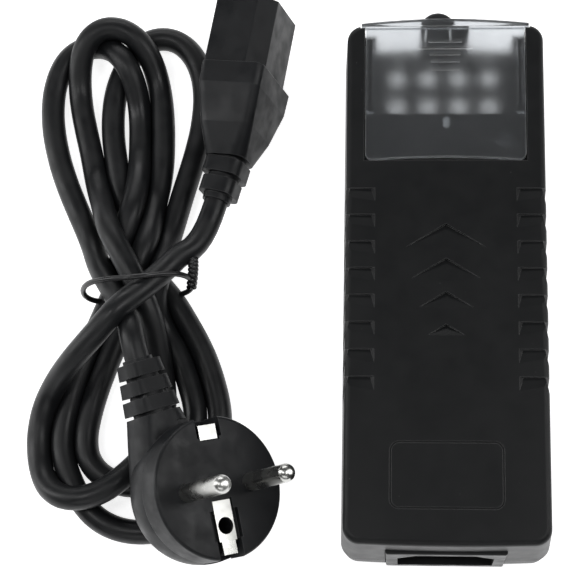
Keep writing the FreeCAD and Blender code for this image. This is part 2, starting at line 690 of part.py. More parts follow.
def tube(node, points, diameter):
    """A cord along straight runs joined by tangent arcs, as large as the runs allow."""
    route = [Vec(*p) for p in points]
    edges, radii, length = [], [], 0.0
    start = route[0]
    for before, corner, after in zip(route, route[1:], route[2:]):
        back, ahead = before - corner, after - corner
        half = (math.pi - back.getAngle(ahead)) / 2
        radius = 0.45 * min(back.Length, ahead.Length) / math.tan(half)
        reach = radius * math.tan(half)
        back.normalize()
        ahead.normalize()
        enter, leave = corner + back * reach, corner + ahead * reach
        middle = back + ahead
        middle.normalize()
        mid = corner + middle * (radius / math.cos(half) - radius)
        edges.append(Part.LineSegment(start, enter).toShape())
        edges.append(Part.Arc(enter, mid, leave).toShape())
        length += (enter - start).Length + 2 * radius * half
        radii.append(round(radius, 1))
        start = leave
    edges.append(Part.LineSegment(start, route[-1]).toShape())
    length += (route[-1] - start).Length
    path = Part.Wire(edges)
    ring = Part.Wire(Part.makeCircle(diameter / 2, route[0], route[1] - route[0]))
    solid = path.makePipeShell([ring], True, False)
    expected = math.pi * diameter ** 2 / 4 * length
    print(node, "radii", radii, "length", round(length, 1), "volume ratio", round(solid.Volume / expected, 4))
    return solid


def hank_parts(clear_of):
    """Outer shape of the loops that the cord is gathered in, and its wire tie."""
    outline = [(-95.5, 2), (-98.5, 10), (-107, 32), (-112, 54), (-110.5, 71), (-101, 79.5), (-91, 81.6)]
    outline += [(-82, 80), (-72, 80.6), (-65, 72), (-63.4, 58), (-67, 36), (-70, 20), (-67.5, 4)]
    outline += [(-63, -14), (-57, -36), (-57.5, -52), (-66, -62), (-79, -66), (-94, -62.5)]
    outline += [(-106, -53), (-110.6, -40), (-108.5, -26), (-99, -10)]
    curve = Part.BSplineCurve()
    curve.interpolate([Vec(x, y, 0.05) for x, y in outline], True)
    sheet = Part.Face(Part.Wire(curve.toShape()))
    flat = sheet.extrude(Vec(0, 0, hank_height))
    waist = []
    for y, half_x, top in ((-13, 15.5, 14), (-5, 13.6, 25.2), (8, 13.4, 25.2), (18, 14.5, 14)):
        ellipse = Part.Ellipse(Vec(0, 0, 0), half_x, top / 2)
        edge = ellipse.toShape()
        edge.rotate(Vec(0, 0, 0), Vec(1, 0, 0), 90)
        edge.translate(Vec(-81.6, y, top / 2 + 0.1))
        waist.append(Part.Wire(edge))
    hank = fuse([flat, Part.makeLoft(waist, True, False)])
    for shape in clear_of:
        hank = hank.cut(shape)
    hank = max(hank.Solids, key=lambda s: s.Volume)
    loop = Part.Ellipse(Vec(0, 0, 0), 14.6, 12.6).toShape()
    loop.rotate(Vec(0, 0, 0), Vec(1, 0, 0), 90)
    loop.translate(Vec(-81.6, tie_y, 13.5))
    start = Vec(-81.6 + 14.6, tie_y, 13.5)
    ring = Part.Wire(Part.makeCircle(0.8, start, Vec(0, 0, 1)))
    tie = Part.Wire(loop).makePipeShell([ring], True, False)
    return hank, tie


def clearance_solids():
    """Room round the plug and the connector, taken out of the hank's outer shape."""
    face = Part.makeCylinder(plug_radius + 0.5, 40, Vec(0, 0, -plug_depth - 0.4))
    neck = Part.makeCone(12.0, 8.6, plug_neck_length + 1.5)
    neck.Placement = plug_cord_frame()
    plug_room = face.fuse(neck)
    plug_room.Placement = plug_placement()
    nose = Part.makeBox(30, 21, nose_length + grip_length * 0.7, Vec(-15, -10.5, -0.5))
    relief = Part.makeCylinder(8.0, 30, Vec(0, 0, nose_length + 10))
    connector_room = nose.fuse(relief)
    connector_room.Placement = connector_placement()
    return [plug_room, connector_room]


def straight_out(placement, distance, run):
    """The point where the cord leaves a relief, and the next one straight out of it."""
    return [placement.multVec(Vec(0, 0, distance)), placement.multVec(Vec(0, 0, distance + run))]


def cord_tubes():
    """The cord outside the hank: in from the connector, and out again to the plug."""
    first = straight_out(connector_relief_placement(), relief_length, 6.8)
    first += [Vec(-66.4, 11.6, 17.0), Vec(-71.2, 6.7, 18.9), Vec(-76.5, 2.6, 21.0)]
    neck = plug_placement().multiply(plug_cord_frame())
    second = straight_out(neck, plug_neck_length, 5.6)
    second += [Vec(-82.3, -9.8, 21.6), Vec(-84.3, -5.2, 18.5), Vec(-86.8, -0.9, 15.4)]
    for point in first + second:
        print("cord point", round(point.x, 1), round(point.y, 1), round(point.z, 1))
    return tube("cord_from_connector", first, cord_diameter), tube("cord_to_plug", second, cord_diameter)


def mains_lead():
    body, contacts, relief = connector_parts()
    save("connector_body", body)
    save("connector_contacts", contacts)
    save("connector_relief", relief)
    plug, pins, earth, plug_relief = plug_parts()
    save("plug_body", plug)
    save("plug_pins", pins)
    save("plug_earth_contacts", earth)
    save("plug_relief", plug_relief)
    hank, tie = hank_parts(clearance_solids())
    save("cord_hank", hank)
    save("twist_tie", tie)
    start, finish = cord_tubes()
    save("cord_from_connector", start)
    save("cord_to_plug", finish)


def injector():
    save("lower_shell", lower_shell())
    save("upper_shell", upper_shell())
    save("port_cover", port_cover())
    save("cover_latch", cover_latch())
    save("latch_bracket", latch_bracket())
    save("light_pipe", light_pipe_column(0, 13.2, ledge_z + 0.1))
    board_top = board_z + board_thickness
    led = fuse([pin(1.5, (led_x, led_y, board_top), 4.0), pin(1.9, (led_x, led_y, board_top), 0.8)])
    save("status_led", led)
    save("ledge_screw", cross_screw(screw_x, screw_y, ledge_z - 1.5, 6.0, True))
    save("case_screws", case_screws())
    save("rubber_feet", rubber_feet())
    save("rating_plate", rating_plate())
    housing, blades, earth = inlet_parts()
    save("inlet_housing", housing)
    save("inlet_blades", blades)
    save("inlet_earth_blade", earth)
    save("insulation_sheet", box(-16.5, 16.5, -45.0, 40.0, 4.0, 4.4))
    save("circuit_board", circuit_board())
    mains_side()
    low_voltage_side()
    save("data_in_jack", jack_housing(-jack_x))
    save("power_out_jack", jack_housing(jack_x))
    save("jack_shields", group([jack_shield(-jack_x), jack_shield(jack_x)]))
    save("jack_contacts", group(jack_contact_set(-jack_x) + jack_contact_set(jack_x)))


injector()
mains_lead()
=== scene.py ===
import bpy
import json
import math
import numpy as np
from mathutils import Matrix, Vector


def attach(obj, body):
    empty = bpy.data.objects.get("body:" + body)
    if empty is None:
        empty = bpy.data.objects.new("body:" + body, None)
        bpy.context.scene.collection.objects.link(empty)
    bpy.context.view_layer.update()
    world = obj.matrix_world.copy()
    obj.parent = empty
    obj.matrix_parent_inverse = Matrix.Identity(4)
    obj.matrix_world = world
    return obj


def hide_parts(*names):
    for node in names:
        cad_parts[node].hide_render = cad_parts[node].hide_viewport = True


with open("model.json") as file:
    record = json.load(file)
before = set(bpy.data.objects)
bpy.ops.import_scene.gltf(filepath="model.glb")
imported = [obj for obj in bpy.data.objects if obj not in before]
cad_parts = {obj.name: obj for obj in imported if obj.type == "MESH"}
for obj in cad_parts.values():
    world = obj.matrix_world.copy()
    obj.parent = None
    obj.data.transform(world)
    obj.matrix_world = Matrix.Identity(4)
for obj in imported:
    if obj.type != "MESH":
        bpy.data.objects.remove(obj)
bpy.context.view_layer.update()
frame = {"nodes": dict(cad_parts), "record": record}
mm = 0.001
print("frame loaded:", len(frame["nodes"]), "CAD nodes")


# Camera: a long lens high over the near end, looking down a little off the vertical.
cameraSet = {"place": (-0.0120, -0.1332, 0.4955), "back": (0.059, -0.269, 0.961),
             "rollDegrees": 1.1, "lens": 118.0, "sensor": 36.0}


def addCamera():
    data = bpy.data.cameras.new("camera")
    data.lens = cameraSet["lens"]
    data.sensor_width = cameraSet["sensor"]
    data.clip_start = 0.01
    camera = bpy.data.objects.new("camera", data)
    bpy.context.scene.collection.objects.link(camera)
    back = Vector(cameraSet["back"]).normalized()
    right = Vector((0, 1, 0)).cross(back).normalized()
    up = back.cross(right)
    roll = math.radians(cameraSet["rollDegrees"])
    rolledRight = right * math.cos(roll) + up * math.sin(roll)
    rolledUp = up * math.cos(roll) - right * math.sin(roll)
    turn = Matrix((rolledRight, rolledUp, back)).transposed().to_4x4()
    camera.matrix_world = Matrix.Translation(Vector(cameraSet["place"])) @ turn
    bpy.context.scene.camera = camera


addCamera()


# The lead's cord: two free ends as they leave the mouldings, the strand that goes over the tie and
# over the strand to the plug, and the loops between. The first heldPoints of it are pulled back to
# where they were laid, and a free end's fixed part is within endPoints of its end.
cordSet = {
    "diameter": 6.5, "length": 1010.0, "pointsPerLoop": 52, "step": 3.2, "heldPoints": 24,
    "endPoints": 12, "tie": (-81.6, 1.5),
    "fromConnector": [(-61.1, 25.1, 15.5), (-62.9, 18.5, 15.5), (-66.4, 11.6, 17.0),
                      (-71.2, 6.7, 18.9), (-76.5, 2.6, 21.0)],
    "overPlugStrand": [(-80.6, -1.9, 23.6), (-83.6, -6.2, 26.4), (-87.2, -10.6, 27.0),
                       (-91.2, -14.2, 25.0), (-95.6, -17.6, 21.0), (-99.4, -20.6, 16.0)],
    "toPlug": [(-86.8, -0.9, 15.4), (-84.3, -5.2, 18.5), (-82.3, -9.8, 21.6),
               (-81.4, -14.8, 23.6), (-79.8, -20.1, 22.4)],
}

# Each loop of the hank, in mm from the tie: how far it reaches, its width, its lean in degrees,
# how pinched it is at the tie, how full its far end is, where its left and right strands meet
# the tie, and the heights of its left strand, far end and right strand. "from" is how far round
# the loop the cord comes in, when that isn't at the tie.
loops = {
    "lowerOuter": {"from": 0.31, "side": -1, "reach": 60, "width": 34, "lean": -24, "pinch": 1.2,
                   "fill": 1.4, "left": 10, "right": 2, "heights": (26.0, 10.0, 15.5)},
    "upperMiddle": {"side": 1, "reach": 77, "width": 19, "lean": -9, "pinch": 2.4,
                    "fill": 0.9, "left": -3, "right": 4, "heights": (15.5, 15.5, 9.5)},
    "lowerInner": {"side": -1, "reach": 51, "width": 28, "lean": 3, "pinch": 1.2,
                   "fill": 0.7, "left": -6, "right": 4, "heights": (9.0, 5.0, 14.0)},
    "upperRight": {"side": 1, "reach": 76, "width": 26, "lean": 3, "pinch": 1.5,
                   "fill": 1.0, "left": 0, "right": -1, "heights": (3.3, 3.3, 14.0)},
    "lowerWide": {"side": -1, "reach": 64, "width": 32, "lean": -1, "pinch": 1.1,
                  "fill": 0.9, "left": -6, "right": 10, "heights": (3.3, 3.3, 3.5)},
    "upperLeft": {"side": 1, "reach": 74, "width": 28, "lean": -8, "pinch": 0.6,
                  "fill": 0.8, "left": -5, "right": -10, "heights": (12.0, 8.0, 6.5)},
}
# The order that the cord runs in, and whether it goes down a loop's left strand first.
loopOrder = [("lowerOuter", True), ("upperMiddle", True), ("lowerInner", True),
             ("upperRight", False), ("lowerWide", False), ("upperLeft", False)]


def loopPoints(loop, leftFirst):
    count = cordSet["pointsPerLoop"]
    t = np.linspace(loop.get("from", 0.03), 0.97, count)
    along = loop["reach"] * ((1 - np.cos(2 * np.pi * t)) / 2) ** loop["fill"]
    swing = np.sin(2 * np.pi * t) * np.sin(np.pi * t) ** loop["pinch"]
    across = -loop["width"] / 2 * swing / np.abs(swing).max()
    blend = t * t * (3 - 2 * t)
    lean = math.radians(loop["lean"])
    left, far, right = loop["heights"]
    x = (across * math.cos(lean) + along * math.sin(lean)
         + loop["left"] * (1 - blend) + loop["right"] * blend)
    y = (along * math.cos(lean) - across * math.sin(lean)) * loop["side"]
    nearTie = np.exp(-(along / (0.30 * loop["reach"])) ** 2)
    z = far + (np.where(t < 0.5, left, right) - far) * nearTie
    points = np.stack([cordSet["tie"][0] + x, cordSet["tie"][1] + y, z], 1)
    return points if leftFirst else points[::-1]


def evenSteps(points, step):
    gaps = np.sqrt((np.diff(points, axis=0) ** 2).sum(1))
    run = np.concatenate([[0], np.cumsum(gaps)])
    at = np.linspace(0, run[-1], int(round(run[-1] / step)) + 1)
    return np.stack([np.interp(at, run, points[:, i]) for i in range(3)], 1)


# The plug as the cord feels it: a round body that narrows to its back, and a neck.
plugSet = {"face": (-57.3, -53.8, 23.6), "lean": 35.5, "pinTurn": 14.8, "cordTurn": 6.0,
           "cordOffset": -4.5, "cordDepth": 14.0, "neck": 37.3, "neckRadius": 6.2,
           "bodyDepths": (-19, -15.5, -7), "bodyRadii": (13.6, 17.3, 18.5), "push": 0.5}


def plugAxes():
    lean, turn = math.radians(plugSet["lean"]), math.radians(plugSet["pinTurn"])
    normal = np.array([math.sin(lean), 0, math.cos(lean)])
    flat = np.array([math.cos(lean), 0, -math.sin(lean)])
    pins = flat * math.cos(turn) + np.array([0, 1, 0]) * math.sin(turn)
    return pins, np.cross(normal, pins), normal


def pushOffPlug(points, radius):
    pins, upward, normal = plugAxes()
    face = np.array(plugSet["face"])
    rel = points - face
    depth = rel @ normal
    flat = rel - depth[:, None] * normal
    out = np.sqrt((flat ** 2).sum(1))
    body = np.interp(depth, plugSet["bodyDepths"], plugSet["bodyRadii"])
    back = plugSet["bodyDepths"][0]
    below = back - radius - depth
    inward = out - body - radius
    inside = (depth > back - radius) & (depth < 0) & (inward < 0)
    down = inside & (below > inward)
    aside = inside & ~down
    moved = points.copy()
    share = plugSet["push"]
    moved[down] += below[down][:, None] * normal * share
    moved[aside] -= (inward[aside] / np.maximum(out[aside], 1e-6) * share)[:, None] * flat[aside]
    turn = math.radians(90 + plugSet["cordTurn"])
    axis = pins * math.cos(turn) + upward * math.sin(turn)
    start = face - plugSet["cordDepth"] * normal + plugSet["cordOffset"] * pins
    run = np.clip((moved - start) @ axis, 0, plugSet["neck"])
    offset = moved - start - run[:, None] * axis
    gap = np.sqrt((offset ** 2).sum(1))
    short = np.clip(plugSet["neckRadius"] + radius - gap, 0, None)
    return moved + (share * short / np.maximum(gap, 1e-6))[:, None] * offset


# How the cord settles, in mm and shares of a step. Points fewer than pointsApart apart along the
# cord, or farther than nearDiameters apart on the table, can't touch.
settling = {"steps": 420, "weight": 0.05, "push": 0.35, "sideways": 0.55, "stiffness": 0.06,
            "homePull": 0.02, "heldPull": 0.08, "longestMove": 0.8, "pointsApart": 7,
            "nearDiameters": 3.2, "spacing": 1.01, "floorGap": 0.05, "tieRounds": 40,
            "tieReach": 17, "tieShare": 0.4}


def settleCord(route, fixed, held):
    # Strands are pushed a diameter apart, weight brings them down, stiffness keeps them smooth.
    d = cordSet["diameter"]
    radius = d / 2
    points, home = route.copy(), route.copy()
    count = len(points)
    first, second = np.triu_indices(count, settling["pointsApart"])
    apart = np.sqrt(((route[first, :2] - route[second, :2]) ** 2).sum(1))
    near = apart < settling["nearDiameters"] * d
    first, second = first[near], second[near]
    free = ~fixed
    for step in range(settling["steps"]):
        points[free, 2] -= settling["weight"]
        gap = points[first] - points[second]
        far = np.sqrt((gap ** 2).sum(1))
        short = np.clip(d * settling["spacing"] - far, 0, None)
        push = gap / np.maximum(far, 1e-6)[:, None] * (short * settling["push"])[:, None]
        push[:, :2] *= settling["sideways"]
        shift = np.zeros_like(points)
        np.add.at(shift, first, push)
        np.add.at(shift, second, -push)
        points[free] += np.clip(shift[free], -settling["longestMove"], settling["longestMove"])
        points[free] = pushOffPlug(points, radius)[free]
        for repeat in range(3):
            bend = np.zeros_like(points)
            moved = points - home
            bend[2:-2] = (moved[:-4] - 4 * moved[1:-3] + 6 * moved[2:-2]
                          - 4 * moved[3:-1] + moved[4:])
            points[free] -= settling["stiffness"] * bend[free]
        points[free, :2] += settling["homePull"] * (home[free, :2] - points[free, :2])
        points[held] += settling["heldPull"] * (home[held] - points[held])
        points[:, 2] = np.maximum(points[:, 2], radius + settling["floorGap"])
    return points


def cordRoute():
    hank = np.concatenate([loopPoints(loops[name], leftFirst) for name, leftFirst in loopOrder])
    start, end = np.array(cordSet["fromConnector"]), np.array(cordSet["toPlug"])
    over = np.array(cordSet["overPlugStrand"])
    whole = evenSteps(np.concatenate([start, over, hank, end]), cordSet["step"])
    for repeat in range(settling["tieRounds"]):
        fromTie = whole[1:-1, 1] - cordSet["tie"][1]
        atTie = np.exp(-(fromTie / settling["tieReach"]) ** 2)[:, None]
        whole[1:-1] += settling["tieShare"] * atTie * ((whole[:-2] + whole[2:]) / 2 - whole[1:-1])
    toStart = np.sqrt(((whole[:, None] - start[None, :3]) ** 2).sum(2)).min(1)
    toEnd = np.sqrt(((whole[:, None] - end[None, 2:]) ** 2).sum(2)).min(1)
    order = np.arange(len(whole))
    atStart = (toStart < cordSet["step"]) & (order < cordSet["endPoints"])
    atEnd = (toEnd < cordSet["step"]) & (order > len(whole) - cordSet["endPoints"])
    fixed = atStart | atEnd
    fixed[[0, 1, -2, -1]] = True
    settled = settleCord(whole, fixed, ~fixed & (order < cordSet["heldPoints"]))
    middle = settled[~fixed]
    return np.concatenate([start[:3], middle, end[2:]])


def addCord():
    route = cordRoute()
    curve = bpy.data.curves.new("mains_cord", "CURVE")
    curve.dimensions = "3D"
    curve.bevel_depth = 1.0  # times each point's radius, which keeps the curve's own box true
    curve.bevel_resolution = 7
    curve.resolution_u = 3
    spline = curve.splines.new("NURBS")
    spline.points.add(len(route) - 1)
    for point, place in zip(spline.points, route):
        point.co = (*(place * mm), 1)
        point.radius = cordSet["diameter"] / 2 * mm
    spline.order_u = 3
    spline.use_endpoint_u = True
    cord = bpy.data.objects.new("mains_cord", curve)
    bpy.context.scene.collection.objects.link(cord)
    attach(cord, "lead")
    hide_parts("cord_from_connector", "cord_hank", "cord_to_plug")
    return cord, route


mainsCord, cordLine = addCord()
cordLength = float(np.sqrt((np.diff(cordLine, axis=0) ** 2).sum(1)).sum())
print("cord laid:", round(cordLength), "mm in", len(cordLine), "points")


# Finishes, one for each material slot: base colour, its darker or lighter cloud, roughness and how
# far it wanders, grain size in mm, bump, how pale the painted highlight on the edges is, and how
# much it shines.
finishes = {
    "shell": {"colour": (0.0075, 0.008, 0.0085), "cloud": (0.0095, 0.010, 0.0105), "rough": 0.42,
              "wander": 0.04, "grain": 0.45, "bump": 0.18, "edge": 0.10, "dust": 0.4,
              "shine": 0.22},
    "latch": {"colour": (0.010, 0.010, 0.011), "cloud": (0.014, 0.014, 0.015), "rough": 0.42,
              "wander": 0.08, "grain": 0.4, "bump": 0.12, "edge": 0.06},
    "inlet": {"colour": (0.010, 0.0105, 0.011), "cloud": (0.014, 0.0145, 0.015), "rough": 0.40,
              "wander": 0.10, "grain": 0.4, "bump": 0.10, "edge": 0.10, "shine": 0.18},
    "lead_rubber": {"colour": (0.0075, 0.008, 0.009), "cloud": (0.012, 0.0127, 0.014),
                    "rough": 0.44, "wander": 0.12, "grain": 0.5, "bump": 0.12, "edge": 0.06,
                    "dust": 0.35, "shine": 0.26},
    "cord": {"colour": (0.0055, 0.006, 0.0068), "cloud": (0.0085, 0.009, 0.010), "rough": 0.43,
             "wander": 0.10, "grain": 1.6, "bump": 0.08, "edge": 0.0, "dust": 0.25, "shine": 0.36},
    "tie": {"colour": (0.010, 0.010, 0.011), "cloud": (0.02, 0.02, 0.021), "rough": 0.30,
            "wander": 0.10, "grain": 0.5, "bump": 0.10, "edge": 0.0},
    "rubber": {"colour": (0.02, 0.02, 0.02), "cloud": (0.03, 0.03, 0.03), "rough": 0.75,
               "wander": 0.10, "grain": 0.3, "bump": 0.20, "edge": 0.05},
    "plate": {"colour": (0.34, 0.35, 0.35), "cloud": (0.40, 0.41, 0.41), "rough": 0.42,
              "wander": 0.08, "grain": 0.25, "bump": 0.05, "edge": 0.0, "metal": 0.7},
    "nickel": {"colour": (0.60, 0.60, 0.58), "cloud": (0.48, 0.48, 0.46), "rough": 0.30,
               "wander": 0.10, "grain": 0.35, "bump": 0.05, "edge": 0.0, "metal": 1.0},
    "brass": {"colour": (0.60, 0.45, 0.20), "cloud": (0.48, 0.35, 0.16), "rough": 0.28,
              "wander": 0.10, "grain": 0.4, "bump": 0.05, "edge": 0.0, "metal": 1.0},
    "gold": {"colour": (0.80, 0.58, 0.22), "cloud": (0.70, 0.50, 0.18), "rough": 0.22,
             "wander": 0.06, "grain": 0.3, "bump": 0.03, "edge": 0.0, "metal": 1.0},
    "steel": {"colour": (0.24, 0.24, 0.25), "cloud": (0.18, 0.18, 0.19), "rough": 0.38,
              "wander": 0.12, "grain": 0.3, "bump": 0.08, "edge": 0.0, "metal": 1.0},
    "tinned": {"colour": (0.58, 0.59, 0.60), "cloud": (0.45, 0.46, 0.48), "rough": 0.30,
               "wander": 0.10, "grain": 1.5, "bump": 0.04, "edge": 0.0, "metal": 1.0},
    "aluminium": {"colour": (0.62, 0.63, 0.64), "cloud": (0.52, 0.53, 0.55), "rough": 0.36,
                  "wander": 0.10, "grain": 0.5, "bump": 0.06, "edge": 0.0, "metal": 1.0},
    "copper": {"colour": (0.55, 0.22, 0.08), "cloud": (0.42, 0.15, 0.05), "rough": 0.30,
               "wander": 0.10, "grain": 0.6, "bump": 0.30, "edge": 0.0, "metal": 0.8},
    "board": {"colour": (0.012, 0.085, 0.035), "cloud": (0.010, 0.065, 0.027), "rough": 0.32,
              "wander": 0.08, "grain": 0.8, "bump": 0.06, "edge": 0.10},
    "insulation": {"colour": (0.55, 0.48, 0.28), "cloud": (0.60, 0.54, 0.33), "rough": 0.45,
                   "wander": 0.10, "grain": 1.2, "bump": 0.08, "edge": 0.0},
    "fuse": {"colour": (0.62, 0.57, 0.47), "cloud": (0.54, 0.49, 0.40), "rough": 0.28,
             "wander": 0.08, "grain": 0.5, "bump": 0.05, "edge": 0.0},
    "varistor": {"colour": (0.03, 0.08, 0.30), "cloud": (0.04, 0.10, 0.36), "rough": 0.30,
                 "wander": 0.10, "grain": 0.9, "bump": 0.12, "edge": 0.0},
    "disc_capacitor": {"colour": (0.03, 0.15, 0.42), "cloud": (0.04, 0.18, 0.48), "rough": 0.30,
                       "wander": 0.10, "grain": 0.9, "bump": 0.12, "edge": 0.0},
    "box_capacitor": {"colour": (0.62, 0.42, 0.05), "cloud": (0.56, 0.37, 0.04), "rough": 0.36,
                      "wander": 0.08, "grain": 0.5, "bump": 0.05, "edge": 0.08},
    "ferrite": {"colour": (0.03, 0.03, 0.032), "cloud": (0.05, 0.05, 0.052), "rough": 0.55,
                "wander": 0.15, "grain": 0.5, "bump": 0.15, "edge": 0.12},
    "epoxy": {"colour": (0.018, 0.018, 0.019), "cloud": (0.026, 0.026, 0.027), "rough": 0.48,
              "wander": 0.10, "grain": 0.3, "bump": 0.12, "edge": 0.06},
    "can": {"colour": (0.03, 0.05, 0.10), "cloud": (0.04, 0.06, 0.12), "rough": 0.26,
            "wander": 0.08, "grain": 0.8, "bump": 0.04, "edge": 0.10},
    "tape": {"colour": (0.70, 0.48, 0.04), "cloud": (0.62, 0.42, 0.03), "rough": 0.30,
             "wander": 0.08, "grain": 1.0, "bump": 0.10, "edge": 0.0},
    "jack": {"colour": (0.014, 0.014, 0.015), "cloud": (0.020, 0.020, 0.021), "rough": 0.34,
             "wander": 0.08, "grain": 0.4, "bump": 0.06, "edge": 0.08},
}


# Sizes in mm that the finishes share, and how strongly the clear ones bend light.
finishSizes = {"cloud": 14, "smear": 5, "edge": 0.28, "dustSpacing": 2.6, "dustPatch": 6}
clearSizes = {"cloud": 9, "smear": 3, "edge": 0.22, "bending": 1.32}


def link(tree, source, target):
    tree.links.new(source, target)


def addNode(tree, kind, **inputs):
    node = tree.nodes.new(kind)
    for name, value in inputs.items():
        node.inputs[name].default_value = value
    return node


def mixColours(tree, factor, first, second):
    mix = tree.nodes.new("ShaderNodeMix")
    mix.data_type = "RGBA"
    link(tree, factor, mix.inputs[0])
    for socket, value in ((mix.inputs[6], first), (mix.inputs[7], second)):
        if isinstance(value, tuple):
            socket.default_value = (*value, 1)
        else:
            link(tree, value, socket)
    return mix.outputs[2]


def ramp(tree, factor, low, high):
    node = addNode(tree, "ShaderNodeMapRange", **{"From Min": low, "From Max": high})
    link(tree, factor, node.inputs["Value"])
    return node.outputs[0]


def noiseAt(tree, place, size, detail=3.0):
    noise = addNode(tree, "ShaderNodeTexNoise", Scale=1 / (size * mm), Detail=detail)
    link(tree, place, noise.inputs["Vector"])
    return noise.outputs[0]


def edgeMask(tree, radius):
    # Where a rounded normal turns away from the true one, the surface has an edge.
    bevel = addNode(tree, "ShaderNodeBevel", Radius=radius * mm)
    bevel.samples = 4
    geometry = tree.nodes.new("ShaderNodeNewGeometry")
    dot = tree.nodes.new("ShaderNodeVectorMath")
    dot.operation = "DOT_PRODUCT"
    link(tree, bevel.outputs[0], dot.inputs[0])
    link(tree, geometry.outputs["True Normal"], dot.inputs[1])
    return ramp(tree, dot.outputs["Value"], 0.995, 0.80), bevel.outputs[0]


def makeFinish(name, look):
    material = bpy.data.materials.new("finish_" + name)
    material.use_nodes = True
    tree = material.node_tree
    tree.nodes.clear()
    output = tree.nodes.new("ShaderNodeOutputMaterial")
    shader = addNode(tree, "ShaderNodeBsdfPrincipled", Metallic=look.get("metal", 0.0), IOR=1.48)
    shader.inputs["Specular IOR Level"].default_value = look.get("shine", 0.5)
    link(tree, shader.outputs[0], output.inputs["Surface"])
    place = tree.nodes.new("ShaderNodeTexCoord").outputs["Object"]
    cloud = noiseAt(tree, place, finishSizes["cloud"])
    colour = mixColours(tree, ramp(tree, cloud, 0.35, 0.65), look["colour"], look["cloud"])
    grain = noiseAt(tree, place, look["grain"], 4.0)
    roughness = addNode(tree, "ShaderNodeMapRange", **{"From Min": 0.3, "From Max": 0.7})
    roughness.inputs["To Min"].default_value = max(look["rough"] - look["wander"], 0.05)
    roughness.inputs["To Max"].default_value = look["rough"] + look["wander"]
    smear = noiseAt(tree, place, finishSizes["smear"])
    link(tree, smear, roughness.inputs["Value"])
    link(tree, roughness.outputs[0], shader.inputs["Roughness"])
    bump = addNode(tree, "ShaderNodeBump", Strength=look["bump"], Distance=0.08 * mm)
    link(tree, grain, bump.inputs["Height"])
    # Paler edges: a painted highlight where the rounded edges would catch the light.
    if look["edge"] > 0:
        mask, rounded = edgeMask(tree, finishSizes["edge"])
        edgeHighlight = tuple(c + look["edge"] for c in look["colour"])
        colour = mixColours(tree, mask, colour, edgeHighlight)
        link(tree, rounded, bump.inputs["Normal"])
    if look.get("dust"):
        specks = addNode(tree, "ShaderNodeTexVoronoi", Scale=1 / (finishSizes["dustSpacing"] * mm))
        link(tree, place, specks.inputs["Vector"])
        patches = ramp(tree, noiseAt(tree, place, finishSizes["dustPatch"]), 0.56, 0.72)
        dots = ramp(tree, specks.outputs["Distance"], 0.075, 0.035)
        both = tree.nodes.new("ShaderNodeMath")
        both.operation = "MULTIPLY"
        link(tree, patches, both.inputs[0])
        link(tree, dots, both.inputs[1])
        pale = tuple(c + 0.16 * look["dust"] for c in look["colour"])
        colour = mixColours(tree, both.outputs[0], colour, pale)
    link(tree, colour, shader.inputs["Base Color"])
    link(tree, bump.outputs[0], shader.inputs["Normal"])
    return material


# The frosted cover and the clear light parts: how clear they are, and how pale their edges are
# painted, as a highlight on the rims and bends.
clearFinishes = {
    "frosted_cover": {"colour": (0.50, 0.52, 0.54), "rough": 0.31, "through": 0.95, "grain": 0.35,
                      "bump": 0.08, "edge": 0.85, "edgeThrough": 0.55},
    "light_pipe": {"colour": (0.93, 0.96, 0.96), "rough": 0.14, "through": 0.25, "grain": 1.0,
                   "bump": 0.03, "edge": 0.0},
    "led": {"colour": (0.75, 0.88, 0.78), "rough": 0.12, "through": 0.70, "grain": 1.0,
            "bump": 0.03, "edge": 0.0},
}


def makeClearFinish(name, look):
    material = bpy.data.materials.new("finish_" + name)
    material.use_nodes = True
    tree = material.node_tree
    shader = tree.nodes["Principled BSDF"]
    shader.inputs["IOR"].default_value = clearSizes["bending"]
    shader.inputs["Transmission Weight"].default_value = look["through"]
    place = tree.nodes.new("ShaderNodeTexCoord").outputs["Object"]
    haze = ramp(tree, noiseAt(tree, place, clearSizes["cloud"]), 0.3, 0.7)
    paler = tuple(min(c + 0.08, 1.0) for c in look["colour"])
    colour = mixColours(tree, haze, look["colour"], paler)
    # Paler, less clear edges: a painted highlight on the cover's rims and bends.
    if look["edge"] > 0:
        mask = edgeMask(tree, clearSizes["edge"])[0]
        mask = ramp(tree, mask, 0.3, 0.9)
        colour = mixColours(tree, mask, colour, (look["edge"],) * 3)
        clear = tree.nodes.new("ShaderNodeMapRange")
        clear.inputs["To Min"].default_value = look["through"]
        clear.inputs["To Max"].default_value = look["edgeThrough"]
        link(tree, mask, clear.inputs["Value"])
        link(tree, clear.outputs[0], shader.inputs["Transmission Weight"])
    link(tree, colour, shader.inputs["Base Color"])
    roughness = addNode(tree, "ShaderNodeMapRange", **{"From Min": 0.3, "From Max": 0.7})
    roughness.inputs["To Min"].default_value = look["rough"] - 0.03
    roughness.inputs["To Max"].default_value = look["rough"] + 0.04
    link(tree, noiseAt(tree, place, clearSizes["smear"]), roughness.inputs["Value"])
    link(tree, roughness.outputs[0], shader.inputs["Roughness"])
    bump = addNode(tree, "ShaderNodeBump", Strength=look["bump"], Distance=0.05 * mm)
    link(tree, noiseAt(tree, place, look["grain"], 4.0), bump.inputs["Height"])
    link(tree, bump.outputs[0], shader.inputs["Normal"])
    return material


materials = {name: makeFinish(name, look) for name, look in finishes.items()}
materials.update({name: makeClearFinish(name, look) for name, look in clearFinishes.items()})


def paint(piece, slotName):
    piece.data.materials.clear()
    piece.data.materials.append(materials[slotName])


for part in frame["record"]["subparts"]:
    paint(frame["nodes"][part["node"]], part["material_slot"])
paint(mainsCord, "cord")
print("finishes made:", len(materials))


# Twist tie: one wire round the hank, its two ends twisted into a tail on the right.
tieSet = {"centre": (-81.6, 1.5, 13.5), "halfWidth": 14.6, "halfHeight": 12.6, "wire": 0.75,
          "tailTurns": 3.5, "tailLength": 9.0, "tailRadius": 0.8, "halfSweep": 172, "steps": 96,
          "tailSteps": 60, "tailDrift": 0.8, "tailRise": 4.5}


